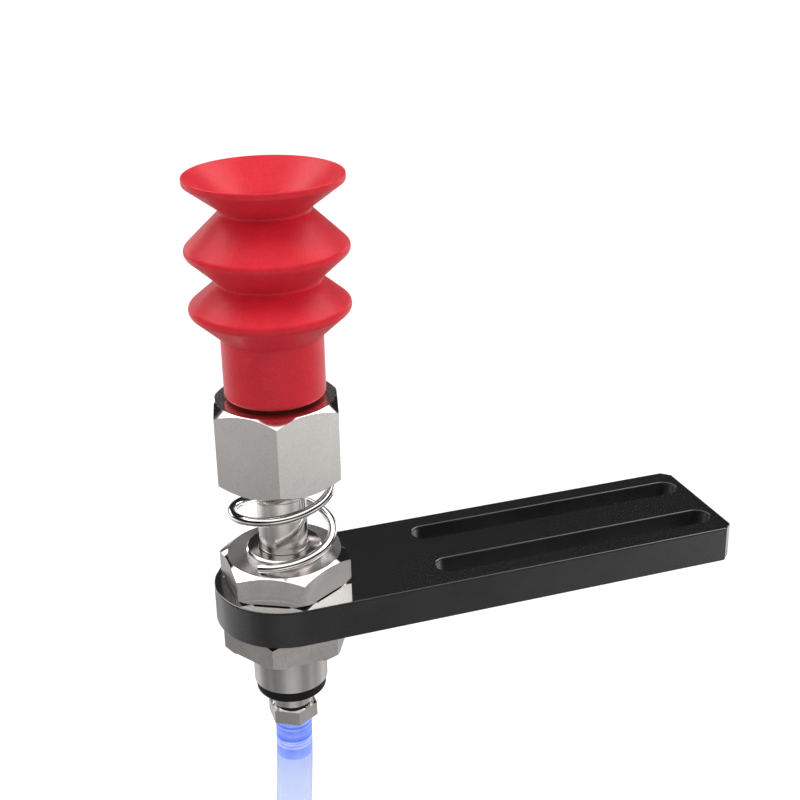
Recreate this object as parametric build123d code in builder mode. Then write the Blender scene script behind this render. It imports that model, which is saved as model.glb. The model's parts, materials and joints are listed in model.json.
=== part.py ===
from build123d import *
import os

# Suction cup mount: a slotted arm that carries a spring-loaded hollow plunger with a bellows cup.
# Origin: on the underside of the arm, midway between its two slots.
# +Z points up to the cup, and the arm runs along Y, with the plunger at its -Y end.

# Arm
arm_width = 23.4
arm_thickness = 6.4
plunger_offset = 50.0  # from the middle of the slots to the plunger's axis
slot_end_wall = 1.8  # left between the slots and the far end
arm_corner_cut = 1.5
arm_edge_break = 0.25
slot_length = 51.4
slot_width = 4.4  # passes an M4 screw
slot_spacing = 11.8
arm_reach = plunger_offset + slot_length / 2 + slot_end_wall  # from the plunger's axis

# Guide bush, its liners and its two nuts
bush_radius = 6.15
bush_length = 25.4
bush_stand = 6.2  # above the arm's top
bush_lip = 1.2
bush_edge_break = 0.3
thread_clearance = 0.02
liner_length = 9.0
liner_wall = 0.76
press_clearance = 0.01
running_clearance = 0.03
lip_clearance = 0.1
nut_flats = 19.0
nut_height = 5.0
nut_slope = 32.0  # of the chamfered corners, in degrees
nut_top_flat_radius = 9.24
nut_bottom_flat_radius = 10.08
nut_relief_radius = 9.93  # recess in the underside
nut_relief_depth = 0.2
upper_nut_turn = 1.8  # how far round each nut is tightened, in degrees
lower_nut_turn = 31.8

# Plunger rod and the rubber ring that stops it
rod_radius = 4.0
rod_bore_radius = 1.75
rod_end_chamfer = 0.5
rod_neck_radius = 3.5  # below the ring
ring_ledge = 0.4  # full width of rod under the ring
rod_grip = 4.6  # length held in the cup holder
rod_shoulder_radius = 4.3
rod_shoulder_length = 3.4  # between the holder and the stroke's lower stop
stop_gap = 0.1
ring_thickness = 1.7
ring_radius = 5.85
ring_groove_depth = 0.4
ring_clearance = 0.02
ring_round = 0.6
neck_length = 3.15  # rod below the ring

# Compression spring
spring_height = 13.7  # as fitted
spring_radius = 8.05  # at the middle of the wire
wire_radius = 0.75
spring_turns = 1.47
spring_seat_clearance = 0.02
spring_start = -43.0  # where its lower tip lies, in degrees from +X

# Cup holder
holder_flats = 19.0
holder_height = 13.6
holder_slope = 36.5
holder_flat_radius = 9.4
holder_turn = 45.9
holder_seal_thickness = 1.0
holder_seal_bore_radius = 2.5
nipple_thread_depth = 6.5
seal_recess_depth = 0.9
seal_recess_radius = 5.7
seal_clearance = 0.03

# Nipple that the cup is pushed onto
nipple_thread_radius = 4.86
nipple_thread_length = 6.0
nipple_flange_radius = 5.9
nipple_flange_thickness = 0.5
nipple_radius = 5.0
nipple_length = 8.4
nipple_bore_radius = 1.9
nipple_ridge_height = 0.6
nipple_ridge_start = 4.6
nipple_ridge_length = 2.2

# Bellows cup
cuff_radius = 7.9
cuff_height = 9.8
cuff_round = 0.7
cup_clearance = 0.05
fold_radius = 12.85  # before its edge is rounded
lower_fold_rise = 4.55
lower_neck_radius = 7.8
lower_neck_rise = 4.25
upper_fold_rise = 4.7
upper_neck_radius = 6.65
upper_neck_rise = 6.05
lip_radius = 12.0
lip_rise = 4.1
lip_band = 1.0
lip_wall = 0.5
cup_wall = 1.6  # measured square to the axis
fold_round = 1.0
neck_round = 0.4
lip_round = 0.2

# Barbed fittings, one at each end of the hose
fitting_flats = 7.4
fitting_hex_height = 2.5
fitting_turn = -0.4
fitting_thread_radius = 2.5
fitting_thread_length = 4.5
fitting_relief_radius = 2.1
fitting_relief_length = 0.6
fitting_bore_radius = 1.1
fitting_seal_thickness = 0.2
fitting_seal_radius = 3.0
barb_length = 7.8
barb_count = 3
barb_crest_radius = 2.06
barb_root_radius = 1.7
barb_neck_length = 1.4

# Air hose: its route below the plunger, as x, y and drop from the hose's upper end
hose_radius = 3.1
hose_bore_radius = 2.1
hose_route = [
    (0.0, 0.0, 0.0),
    (0.0, 0.0, 9.5),
    (-0.6, -2.0, 36.0),
    (-1.2, -3.4, 75.0),
    (-1.2, -3.4, 119.0),
]
bend_share = 0.45

# Heights that follow from the sizes above
shaft_y = -plunger_offset
bush_top = arm_thickness + bush_stand
bush_bottom = bush_top - bush_length
nut_top = arm_thickness + nut_height
holder_bottom = nut_top + spring_height
holder_top = holder_bottom + holder_height
shoulder_bottom = holder_bottom - rod_shoulder_length
rod_top = holder_bottom + rod_grip
ring_top = bush_bottom - stop_gap
rod_bottom = ring_top - ring_thickness - neck_length
fitting_top = rod_bottom - fitting_seal_thickness
hose_top = fitting_top - fitting_hex_height
cup_bottom = holder_top + nipple_flange_thickness
liner_radius = rod_radius + running_clearance + liner_wall
shaft = Axis((0, shaft_y, 0), (0, 0, 1))
shaft_side = Plane.XZ.offset(plunger_offset)

os.makedirs("parts", exist_ok=True)


def on_shaft(height, turn=0.0):
    """A level plane centred on the plunger's axis."""
    return Plane.XY.offset(height).move(Pos(0, shaft_y, 0) * Rot(0, 0, turn))


def cone_drop(corner, flat, slope):
    """How far a corner of a hexagon lies below its chamfered face."""
    return (corner - flat) * tan_degrees(slope)


def tan_degrees(angle):
    """The rise of a slope for a run of one."""
    lift = Vector(1, 0, 0).rotate(Axis.Z, angle)
    return lift.Y / lift.X


def hexagon_block(plane, flats, height, low_flat, high_flat, slope):
    """A hexagon with its corners turned off, each face flat inside its own circle."""
    corner = flats / 3**0.5
    high_drop = cone_drop(corner, high_flat, slope)
    low_drop = cone_drop(corner, low_flat, slope)
    with BuildPart() as block:
        with BuildSketch(plane):
            RegularPolygon(corner, 6)
        extrude(amount=height)
        with BuildSketch(Plane(plane.origin, plane.x_dir, -plane.y_dir)):
            with BuildLine():
                Polyline(
                    (0, 0),
                    (low_flat, 0),
                    (corner, low_drop),
                    (corner, height - high_drop),
                    (high_flat, height),
                    (0, height),
                    close=True,
                )
            make_face()
        revolve(axis=Axis(plane.origin, plane.z_dir), mode=Mode.INTERSECT)
    return block.part


def ring(plane, outer, inner, height):
    """A plain ring, such as a washer or a liner."""
    with BuildPart() as washer:
        with BuildSketch(plane):
            Circle(outer)
            Circle(inner, mode=Mode.SUBTRACT)
        extrude(amount=height)
    return washer.part


def save(part, name):
    """Labels a finished piece and writes its file."""
    part.label = name
    export_step(part, f"parts/{name}.step")
    print(name, "volume", round(part.volume, 2))


# The arm is a flat bar, round about the bush and cut with two parallel slots.
with BuildPart() as bracket_arm:
    with BuildSketch() as arm_outline:
        with Locations((0, shaft_y + arm_reach / 2)):
            Rectangle(arm_width, arm_reach)
        far_corners = arm_outline.vertices().group_by(Axis.Y)[-1]
        chamfer(far_corners, arm_corner_cut)
        with Locations((0, shaft_y)):
            Circle(arm_width / 2)
    extrude(amount=arm_thickness)
    with BuildSketch():
        with Locations((0, shaft_y)):
            Circle(bush_radius + thread_clearance)
        with Locations((-slot_spacing / 2, 0), (slot_spacing / 2, 0)):
            SlotOverall(slot_length, slot_width, rotation=90)
    extrude(amount=arm_thickness, mode=Mode.SUBTRACT)
    level_faces = bracket_arm.faces().filter_by(Axis.Z)
    chamfer(level_faces.edges(), arm_edge_break)
save(bracket_arm.part, "bracket_arm")

# The guide bush has a lip at its top that keeps the liners in.
with BuildPart() as guide_bush:
    with BuildSketch(on_shaft(bush_bottom)):
        Circle(bush_radius)
    extrude(amount=bush_length)
    bush_ends = guide_bush.faces().filter_by(Axis.Z).edges()
    chamfer(bush_ends, bush_edge_break)
    with BuildSketch(on_shaft(bush_bottom)):
        Circle(rod_radius + lip_clearance)
    extrude(amount=bush_length, mode=Mode.SUBTRACT)
    with BuildSketch(on_shaft(bush_bottom)):
        Circle(liner_radius + press_clearance)
    extrude(amount=bush_length - bush_lip, mode=Mode.SUBTRACT)
save(guide_bush.part, "guide_bush")

liner_places = {
    "lower_liner": bush_bottom,
    "upper_liner": bush_top - bush_lip - liner_length,
}
for liner_name, liner_bottom in liner_places.items():
    liner = ring(
        on_shaft(liner_bottom),
        liner_radius,
        rod_radius + running_clearance,
        liner_length,
    )
    save(liner, liner_name)

# Both nuts are alike, and both have their recessed and less chamfered face downward.
nut_bore_radius = bush_radius + thread_clearance
nut_places = {
    "upper_nut": on_shaft(arm_thickness, upper_nut_turn),
    "lower_nut": on_shaft(-nut_height, lower_nut_turn),
}
for nut_name, nut_plane in nut_places.items():
    with BuildPart() as nut:
        add(
            hexagon_block(
                nut_plane,
                nut_flats,
                nut_height,
                nut_bottom_flat_radius,
                nut_top_flat_radius,
                nut_slope,
            )
        )
        with BuildSketch(nut_plane):
            Circle(nut_bore_radius)
        extrude(amount=nut_height, mode=Mode.SUBTRACT)
        with BuildSketch(nut_plane):
            Circle(nut_relief_radius)
        extrude(amount=nut_relief_depth, mode=Mode.SUBTRACT)
    save(nut.part, nut_name)

# The hollow rod slides in the liners and carries the air. Its shoulder meets the holder.
groove_radius = rod_radius - ring_groove_depth
with BuildPart() as plunger_rod:
    with BuildSketch(on_shaft(rod_bottom)):
        Circle(rod_neck_radius)
    extrude(amount=neck_length - ring_ledge)
    with BuildSketch(on_shaft(rod_bottom + neck_length - ring_ledge)):
        Circle(rod_radius)
    extrude(amount=rod_top - rod_bottom - neck_length + ring_ledge)
    rod_end = plunger_rod.edges().filter_by(GeomType.CIRCLE).sort_by(Axis.Z)[0]
    chamfer(rod_end, rod_end_chamfer)
    with BuildSketch(on_shaft(shoulder_bottom)):
        Circle(rod_shoulder_radius)
    extrude(amount=rod_shoulder_length)
    with BuildSketch(on_shaft(ring_top - ring_thickness - ring_clearance)):
        Circle(rod_radius + lip_clearance)
        Circle(groove_radius, mode=Mode.SUBTRACT)
    extrude(amount=ring_thickness + 2 * ring_clearance, mode=Mode.SUBTRACT)
    with BuildSketch(on_shaft(rod_bottom)):
        Circle(rod_bore_radius)
    extrude(amount=rod_top - rod_bottom, mode=Mode.SUBTRACT)
    with BuildSketch(on_shaft(rod_bottom)):
        Circle(fitting_thread_radius + thread_clearance)
    extrude(amount=fitting_thread_length + thread_clearance, mode=Mode.SUBTRACT)
save(plunger_rod.part, "plunger_rod")

with BuildPart() as bumper_ring:
    with BuildSketch(on_shaft(ring_top - ring_thickness)):
        Circle(ring_radius)
    extrude(amount=ring_thickness)
    ring_low_edge = bumper_ring.edges().sort_by(Axis.Z)[0]
    fillet(ring_low_edge, ring_round)
    with BuildSketch(on_shaft(ring_top - ring_thickness)):
        Circle(groove_radius + ring_clearance)
    extrude(amount=ring_thickness, mode=Mode.SUBTRACT)
save(bumper_ring.part, "bumper_ring")

# The spring is an open coil that stands on the upper nut and bears on the holder.
coil_bottom = nut_top + wire_radius + spring_seat_clearance
coil_rise = spring_height - 2 * (wire_radius + spring_seat_clearance)
coil_place = Pos(0, shaft_y, coil_bottom) * Rot(0, 0, spring_start)
coil_line = Helix(coil_rise / spring_turns, coil_rise, spring_radius).moved(coil_place)
with BuildPart() as spring:
    with BuildSketch(Plane(origin=coil_line @ 0, z_dir=coil_line % 0)):
        Circle(wire_radius)
    sweep(path=coil_line, is_frenet=True)
    coil_cut_low = on_shaft(coil_bottom - wire_radius)
    split(bisect_by=coil_cut_low, keep=Keep.TOP)
    coil_cut_high = on_shaft(coil_bottom + coil_rise + wire_radius)
    split(bisect_by=coil_cut_high, keep=Keep.BOTTOM)
save(spring.part, "spring")

# The holder is a tall hexagon, bored through for the air.
holder_plane = on_shaft(holder_bottom, holder_turn)
with BuildPart() as hex_holder:
    add(
        hexagon_block(
            holder_plane,
            holder_flats,
            holder_height,
            holder_flat_radius,
            holder_flat_radius,
            holder_slope,
        )
    )
    with BuildSketch(holder_plane):
        Circle(rod_radius + thread_clearance)
    extrude(amount=rod_grip + holder_seal_thickness, mode=Mode.SUBTRACT)
    with BuildSketch(holder_plane):
        Circle(rod_bore_radius)
    extrude(amount=holder_height, mode=Mode.SUBTRACT)
    with BuildSketch(on_shaft(holder_top - nipple_thread_depth)):
        Circle(nipple_thread_radius + thread_clearance)
    extrude(amount=nipple_thread_depth, mode=Mode.SUBTRACT)
    with BuildSketch(on_shaft(holder_top - seal_recess_depth)):
        Circle(seal_recess_radius)
    extrude(amount=seal_recess_depth, mode=Mode.SUBTRACT)
save(hex_holder.part, "hex_holder")

holder_seal = ring(
    on_shaft(rod_top), rod_radius, holder_seal_bore_radius, holder_seal_thickness
)
save(holder_seal, "holder_seal")

nipple_seal = ring(
    on_shaft(holder_top - seal_recess_depth),
    seal_recess_radius - seal_clearance,
    nipple_thread_radius + seal_clearance,
    seal_recess_depth - seal_clearance,
)
save(nipple_seal, "nipple_seal")


def ridge_outline(radius, gap):
    """The nipple's saw-toothed ridge, or the groove for it when gap is added."""
    start = cup_bottom + nipple_ridge_start
    crest = radius + nipple_ridge_height + gap
    Polyline(
        (radius / 2, start - gap),
        (crest, start - gap),
        (radius + gap, start + nipple_ridge_length + gap),
        (radius / 2, start + nipple_ridge_length + gap),
        close=True,
    )


with BuildPart() as cup_nipple:
    with BuildSketch(on_shaft(holder_top - nipple_thread_length)):
        Circle(nipple_thread_radius)
    extrude(amount=nipple_thread_length)
    with BuildSketch(on_shaft(holder_top)):
        Circle(nipple_flange_radius)
    extrude(amount=nipple_flange_thickness)
    with BuildSketch(on_shaft(cup_bottom)):
        Circle(nipple_radius)
    extrude(amount=nipple_length)
    nipple_end = cup_nipple.edges().filter_by(GeomType.CIRCLE).sort_by(Axis.Z)[-1]
    fillet(nipple_end, neck_round)
    with BuildSketch(shaft_side):
        with BuildLine():
            ridge_outline(nipple_radius, 0.0)
        make_face()
    revolve(axis=shaft)
    with BuildSketch(on_shaft(holder_top - nipple_thread_length)):
        Circle(nipple_bore_radius)
    bore_length = nipple_thread_length + nipple_flange_thickness + nipple_length
    extrude(amount=bore_length, mode=Mode.SUBTRACT)
save(cup_nipple.part, "cup_nipple")

# The cup is one moulding: a plain cuff, two and a half folds and a thin flared lip.
lower_fold = cup_bottom + cuff_height + lower_fold_rise
lower_neck = lower_fold + lower_neck_rise
upper_fold = lower_neck + upper_fold_rise
upper_neck = upper_fold + upper_neck_rise
lip_under = upper_neck + lip_rise
cup_top = lip_under + lip_band
cup_bore_radius = nipple_radius + cup_clearance
chamber_bottom = cup_bottom + nipple_length + cup_clearance
outer_fold_points = [
    (fold_radius, lower_fold),
    (fold_radius, upper_fold),
]
outer_neck_points = [
    (lower_neck_radius, lower_neck),
    (upper_neck_radius, upper_neck),
]
inner_fold_points = [
    (radius - cup_wall, height) for radius, height in outer_fold_points
]
inner_neck_points = [
    (radius - cup_wall, height) for radius, height in outer_neck_points
]
with BuildPart() as suction_cup:
    with BuildSketch(shaft_side) as cup_section:
        with BuildLine():
            Polyline(
                (cup_bore_radius, cup_bottom),
                (cuff_radius, cup_bottom),
                (cuff_radius, cup_bottom + cuff_height),
                outer_fold_points[0],
                outer_neck_points[0],
                outer_fold_points[1],
                outer_neck_points[1],
                (lip_radius, lip_under),
                (lip_radius, cup_top),
                (lip_radius - lip_wall, cup_top),
                inner_neck_points[1],
                inner_fold_points[1],
                inner_neck_points[0],
                inner_fold_points[0],
                (cup_bore_radius, chamber_bottom),
                close=True,
            )
        make_face()

        roundings = [
            ([(cuff_radius, cup_bottom)], cuff_round),
            (outer_fold_points, fold_round),
            (outer_neck_points, neck_round),
            ([(lip_radius, cup_top), (lip_radius - lip_wall, cup_top)], lip_round),
        ]
        for points, radius in roundings:
            for point in points:
                corner = cup_section.vertices().sort_by_distance(point)[0]
                fillet(corner, radius)
    revolve(axis=shaft)
    with BuildSketch(shaft_side):
        with BuildLine():
            ridge_outline(nipple_radius, cup_clearance)
        make_face()
    revolve(axis=shaft, mode=Mode.SUBTRACT)
save(suction_cup.part, "suction_cup")


def barbed_fitting(place):
    """A hexagon with a screw thread above it and a hose barb below it."""
    tooth = (barb_length - barb_neck_length) / barb_count
    first_tooth = -fitting_hex_height - barb_neck_length
    barb_points = [(0, 0), (barb_root_radius, 0), (barb_root_radius, first_tooth)]
    for step in range(barb_count):
        near = first_tooth - step * tooth
        barb_points += [(barb_crest_radius, near), (barb_root_radius, near - tooth)]
    barb_points += [(0, -fitting_hex_height - barb_length)]
    with BuildPart() as fitting:
        with BuildSketch():
            RegularPolygon(fitting_flats / 3**0.5, 6, rotation=fitting_turn)
        extrude(amount=-fitting_hex_height)
        with BuildSketch():
            Circle(fitting_thread_radius)
        extrude(amount=fitting_thread_length)
        with BuildSketch():
            Circle(fitting_thread_radius + thread_clearance)
            Circle(fitting_relief_radius, mode=Mode.SUBTRACT)
        extrude(amount=fitting_relief_length, mode=Mode.SUBTRACT)
        with BuildSketch(Plane.XZ):
            with BuildLine():
                Polyline(*barb_points, close=True)
            make_face()
        revolve(axis=Axis.Z)
        with BuildSketch(Plane.XY.offset(-fitting_hex_height - barb_length)):
            Circle(fitting_bore_radius)
        through = barb_length + fitting_hex_height + fitting_thread_length
        extrude(amount=through, mode=Mode.SUBTRACT)
    return fitting.part.moved(place)


# The hose is pushed over both barbs and hangs from the plunger.
route_points = [Vector(x, shaft_y + y, hose_top - drop) for x, y, drop in hose_route]
bend_radii = []
for before, corner, after in zip(route_points, route_points[1:], route_points[2:]):
    turn = (corner - before).get_angle(after - corner)
    shorter_run = min((corner - before).length, (after - corner).length)
    bend_radii.append(bend_share * shorter_run / tan_degrees(turn / 2))
print("hose bend radii", [round(radius, 1) for radius in bend_radii])
with BuildPart() as air_hose:
    with BuildLine() as hose_line:
        FilletPolyline(*route_points, radius=bend_radii)
    with BuildSketch(Plane(origin=route_points[0], z_dir=(0, 0, -1))):
        Circle(hose_radius)
        Circle(hose_bore_radius, mode=Mode.SUBTRACT)
    sweep()
save(air_hose.part, "air_hose")
hose_section = 3.14159 * (hose_radius**2 - hose_bore_radius**2)
print("hose length", round(hose_line.wires()[0].length, 2))
print("section times length", round(hose_section * hose_line.wires()[0].length, 2))

hose_end = route_points[-1]
end_fitting_base = hose_end.Z - fitting_hex_height
fitting_places = {
    "barb_fitting": Pos(0, shaft_y, fitting_top),
    "hose_end_fitting": Pos(hose_end.X, hose_end.Y, end_fitting_base) * Rot(180, 0, 0),
}
for fitting_name, fitting_place in fitting_places.items():
    save(barbed_fitting(fitting_place), fitting_name)

seal_places = {
    "fitting_seal": on_shaft(fitting_top),
    "hose_end_seal": Plane((hose_end.X, hose_end.Y, end_fitting_base - fitting_seal_thickness)),
}
for seal_name, seal_plane in seal_places.items():
    seal_bore = fitting_thread_radius + seal_clearance
    save(ring(seal_plane, fitting_seal_radius, seal_bore, fitting_seal_thickness), seal_name)
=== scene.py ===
# %% [markdown]
# # A suction cup mount, dressed for its portrait
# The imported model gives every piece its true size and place, and this script gives it its looks:
# first the camera and the hose, then the two other ways of making a mesh, then the pieces from the
# arm up to the cup, and last the finishes and the light.

# %% Load the frame
import json
import math

import bmesh
import bpy
from mathutils import Matrix, Vector


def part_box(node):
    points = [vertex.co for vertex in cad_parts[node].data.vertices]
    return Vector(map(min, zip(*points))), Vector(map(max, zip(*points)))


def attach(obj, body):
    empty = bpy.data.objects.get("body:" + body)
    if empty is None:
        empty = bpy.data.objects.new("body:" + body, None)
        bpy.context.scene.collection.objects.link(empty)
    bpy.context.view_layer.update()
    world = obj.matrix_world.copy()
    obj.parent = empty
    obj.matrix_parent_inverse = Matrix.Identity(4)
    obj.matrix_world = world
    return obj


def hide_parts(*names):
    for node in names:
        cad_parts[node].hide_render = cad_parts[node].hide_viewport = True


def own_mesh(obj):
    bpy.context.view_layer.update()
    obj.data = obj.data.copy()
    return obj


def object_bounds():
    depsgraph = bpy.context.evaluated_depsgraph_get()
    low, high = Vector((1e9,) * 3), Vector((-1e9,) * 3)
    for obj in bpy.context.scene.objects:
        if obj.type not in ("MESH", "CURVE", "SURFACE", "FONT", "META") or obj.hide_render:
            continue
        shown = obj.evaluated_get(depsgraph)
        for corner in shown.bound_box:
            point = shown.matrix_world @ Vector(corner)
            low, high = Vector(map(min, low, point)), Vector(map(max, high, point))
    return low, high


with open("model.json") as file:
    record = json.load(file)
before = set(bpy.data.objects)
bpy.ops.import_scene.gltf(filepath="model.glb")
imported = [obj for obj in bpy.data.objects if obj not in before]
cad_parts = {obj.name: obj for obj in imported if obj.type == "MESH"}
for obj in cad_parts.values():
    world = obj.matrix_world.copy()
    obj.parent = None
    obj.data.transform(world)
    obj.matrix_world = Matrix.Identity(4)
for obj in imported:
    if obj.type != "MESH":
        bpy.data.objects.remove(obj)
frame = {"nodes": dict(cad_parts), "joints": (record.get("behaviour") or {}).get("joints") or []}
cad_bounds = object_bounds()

MM = 0.001

# %% [markdown]
# ## The camera
# The photograph was taken from above and to one side, from about 24 cm away. A camera is a place,
# three turns and a lens. It could be aimed by a constraint, but a constraint knows no lean. So the
# turns are kept apart here, as a photographer thinks of them: which way round the object, how far
# down, and how far the camera leans.

# %% Set the camera
def placed(name, data):
    """A new object with the given data, put in the scene."""
    made = bpy.data.objects.new(name, data)
    bpy.context.scene.collection.objects.link(made)
    return made


CAMERA_PLACE = Vector((189.68, -94.65, 120.6)) * MM
CAMERA_AZIMUTH = math.radians(71.079)
CAMERA_DOWN = math.radians(23.192)
CAMERA_LEAN = math.radians(-1.007)
CAMERA_LENS = 61.1
SENSOR_WIDTH = 36.0
NEAREST_SEEN = 0.01

level_right = Vector((math.cos(CAMERA_AZIMUTH), math.sin(CAMERA_AZIMUTH), 0))
level_ahead = Vector((-math.sin(CAMERA_AZIMUTH), math.cos(CAMERA_AZIMUTH), 0))
ahead = level_ahead * math.cos(CAMERA_DOWN) - Vector((0, 0, math.sin(CAMERA_DOWN)))
upward = level_right.cross(ahead)
camera_x = level_right * math.cos(CAMERA_LEAN) + upward * math.sin(CAMERA_LEAN)
camera_y = upward * math.cos(CAMERA_LEAN) - level_right * math.sin(CAMERA_LEAN)
camera = placed("camera", bpy.data.cameras.new("camera"))
camera.data.lens = CAMERA_LENS
camera.data.sensor_width = SENSOR_WIDTH
camera.data.clip_start = NEAREST_SEEN
camera.matrix_world = Matrix.Translation(CAMERA_PLACE) @ Matrix(
    (camera_x, camera_y, -ahead)
).transposed().to_4x4()
bpy.context.scene.camera = camera
print("camera stands", round(CAMERA_PLACE.length / MM), "mm from the origin")

# %% [markdown]
# ## Places read from the frame
# Most pieces are built around one upright line, the plunger's axis. Its place, and the heights at
# which pieces seat on each other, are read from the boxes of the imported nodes, so nothing has to
# be fitted afterwards.

# %% Read the seats
def low(node):
    """The height of a node's lowest point."""
    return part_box(node)[0][2]


def high(node):
    """The height of a node's highest point."""
    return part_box(node)[1][2]


def span(node):
    """The lowest and highest point of a node in millimetres, as outlines count."""
    return low(node) / MM, high(node) / MM


def middle(node):
    """The centre of a node's box, at height zero."""
    corner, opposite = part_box(node)
    return Vector(((corner[0] + opposite[0]) / 2, (corner[1] + opposite[1]) / 2, 0))


def radius_of(node):
    """Half the width of a round node."""
    corner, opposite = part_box(node)
    return (opposite[0] - corner[0]) / 2


SHAFT = middle("guide_bush")
arm_bottom, arm_top = low("bracket_arm"), high("bracket_arm")
nut_top = high("upper_nut")
cup_bottom, cup_top = low("suction_cup"), high("suction_cup")
print("plunger axis at", [round(part / MM, 2) for part in SHAFT], "mm")
print("cup lip at", round(cup_top / MM, 2), "mm")

# %% [markdown]
# ## Two jobs that every piece needs
# A mesh becomes a piece once an object carries it, the object rides on a body, and the packed
# solids that it stands for are hidden. Shading by angle then makes its curves smooth and its real
# edges sharp, which is simpler than marking edges one by one.

# %% Link and shade
CREASE = 28.0


def link(name, mesh, body, *nodes):
    """Puts a mesh in the scene, riding on a body and standing for its nodes."""
    piece = placed(name, mesh)
    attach(piece, body)
    if nodes:
        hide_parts(*nodes)
    print(name, "has", len(mesh.polygons), "faces")
    return piece


def shade(mesh, crease=CREASE):
    """Smooth shading, with a crease wherever two faces meet at more than this many degrees."""
    mesh.shade_smooth()
    mesh.set_sharp_from_angle(angle=math.radians(crease))
    return mesh


def emptied(mould, name):
    """The finished mesh of a mould, with its faces turned outward."""
    bmesh.ops.recalc_face_normals(mould, faces=mould.faces)
    mesh = bpy.data.meshes.new(name)
    mould.to_mesh(mesh)
    mould.free()
    return mesh


print("pieces are creased where faces meet at more than", CREASE, "degrees")

# %% [markdown]
# ## Meshes that are swept along a line
# A hose or a spring wire is a circle carried along a line. A curve with a bevel would do it too,
# but a mesh can be hollow and can mark its bore for a finish of its own. The circle has to keep
# its heading as the line bends, or the surface twists. So each new circle takes the last one's
# side direction and drops only the part that now points along the line.

# %% Sweep a circle
def circle(mould, centre, across, other, radius, sides):
    """A ring of points about a centre, in the plane of two directions."""
    angles = [2 * math.pi * step / sides for step in range(sides)]
    return [
        mould.verts.new(centre + (across * math.cos(a) + other * math.sin(a)) * radius)
        for a in angles
    ]


def skin(mould, first, second, number=0):
    """The band of faces between two rings of points, marked with a number."""
    for step in range(len(first)):
        after = (step + 1) % len(first)
        face = mould.faces.new((first[step], first[after], second[after], second[step]))
        face.material_index = number


def tube(name, line, radius, sides, bore=None):
    """A closed tube along a line of points: solid, or hollow where bore gives its inner radius."""
    mould = bmesh.new()
    radii = [radius] if bore is None else [radius, bore]
    side = (line[1] - line[0]).orthogonal().normalized()
    rings = []
    for index, point in enumerate(line):
        back, forth = line[max(index - 1, 0)], line[min(index + 1, len(line) - 1)]
        along = (forth - back).normalized()
        side = (side - along * side.dot(along)).normalized()
        other = along.cross(side)
        rings += [circle(mould, point, side, other, size, sides) for size in radii]
    count = len(radii)
    for start in range(0, len(rings) - count, count):
        for layer in range(count):
            skin(mould, rings[start + layer], rings[start + count + layer], layer)
    if bore is None:
        mould.faces.new(rings[0])
        mould.faces.new(rings[-1])
    else:
        skin(mould, rings[0], rings[1])
        skin(mould, rings[-2], rings[-1])
    return shade(emptied(mould, name))


print("a tube marks its outside as 0 and its bore as 1")

# %% [markdown]
# ## The air hose
# The hose is clear blue polyurethane, 6 mm outside, pushed over a barb and hanging almost plumb.
# Its route is a handful of points that pull a smooth NURBS line along, the way a hand would bend
# it. The line is then read back as points, and a hollow tube follows them, because a clear hose
# shows its inner wall.

# %% Hang the hose
HOSE_ROUTE = [
    (0.0, 0.0, 0.0),
    (0.0, 0.0, 9.5),
    (-0.6, -2.0, 36.0),
    (-1.2, -3.4, 75.0),
    (-1.2, -3.4, 119.0),
]
HOSE_DIAMETER = 0.0062
HOSE_BORE = 0.0042
HOSE_SIDES = 48
ROUTE_STEPS = 24
hose_top = SHAFT + Vector((0, 0, high("air_hose")))
route_curve = bpy.data.curves.new("hose_route", "CURVE")
route_curve.dimensions = "3D"
route_curve.resolution_u = ROUTE_STEPS
route = route_curve.splines.new("NURBS")
route.points.add(len(HOSE_ROUTE) - 1)
for knot, (x, y, drop) in zip(route.points, HOSE_ROUTE):
    knot.co = (*(hose_top + Vector((x, y, -drop)) * MM), 1)
route.use_endpoint_u = True
route.order_u = 3
route_object = bpy.data.objects.new("hose_route", route_curve)
route_mesh = bpy.data.meshes.new_from_object(route_object)
hose_line = [vertex.co.copy() for vertex in route_mesh.vertices]
bpy.data.objects.remove(route_object)
hose_mesh = tube("clear_hose", hose_line, HOSE_DIAMETER / 2, HOSE_SIDES, HOSE_BORE / 2)
hose = link("clear_hose", hose_mesh, "plunger", "air_hose")

# %% [markdown]
# ## Turned pieces
# The rod, the bush, the ring and the cup are all turned shapes: one outline, spun about the
# plunger's axis. An outline is a closed ring of corners given as radius and height in millimetres.
# A corner may carry a third number, the radius that rounds it off, because no real edge is sharp,
# and it is the rounding that catches the light. A bevel modifier could round them too, but only
# all by one width. A narrow strip on each side of a rounding keeps the smooth shading there, so
# the long faces stay flat.

# %% Round an outline's corners
ARC_STEPS = 6
STRIP = 0.12
ROOM_FOR_STRIP = 4 * STRIP


def softened(corners):
    """The outline with each corner that has a rounding replaced by an arc."""
    points = []
    for index, corner in enumerate(corners):
        here = Vector(corner[:2])
        if len(corner) == 2:
            points.append(here)
            continue
        before = Vector(corners[index - 1][:2]) - here
        after = Vector(corners[(index + 1) % len(corners)][:2]) - here
        back, forth = before.normalized(), after.normalized()
        half = before.angle(after) / 2
        reach = corner[2] / math.tan(half)
        start = here + back * reach
        middle_way = (back + forth).normalized()
        centre = here + middle_way * (corner[2] / math.sin(half))
        first = start - centre
        last = here + forth * reach - centre
        sweep = math.atan2(first.x * last.y - first.y * last.x, first.dot(last))
        if before.length > reach + ROOM_FOR_STRIP:
            points.append(here + back * (reach + STRIP))
        for step in range(ARC_STEPS + 1):
            points.append(centre + Matrix.Rotation(sweep * step / ARC_STEPS, 2) @ first)
        if after.length > reach + ROOM_FOR_STRIP:
            points.append(here + forth * (reach + STRIP))
    return points


print("a rounded corner takes", ARC_STEPS + 1, "points and a strip on each side")

# %% [markdown]
# Spinning is the lathe's own way to a round piece. The Screw modifier does it too, but a plain
# loop can also stand the piece on a seat and turn it upside down.

# %% Spin an outline
SPUN_SIDES = 192


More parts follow.
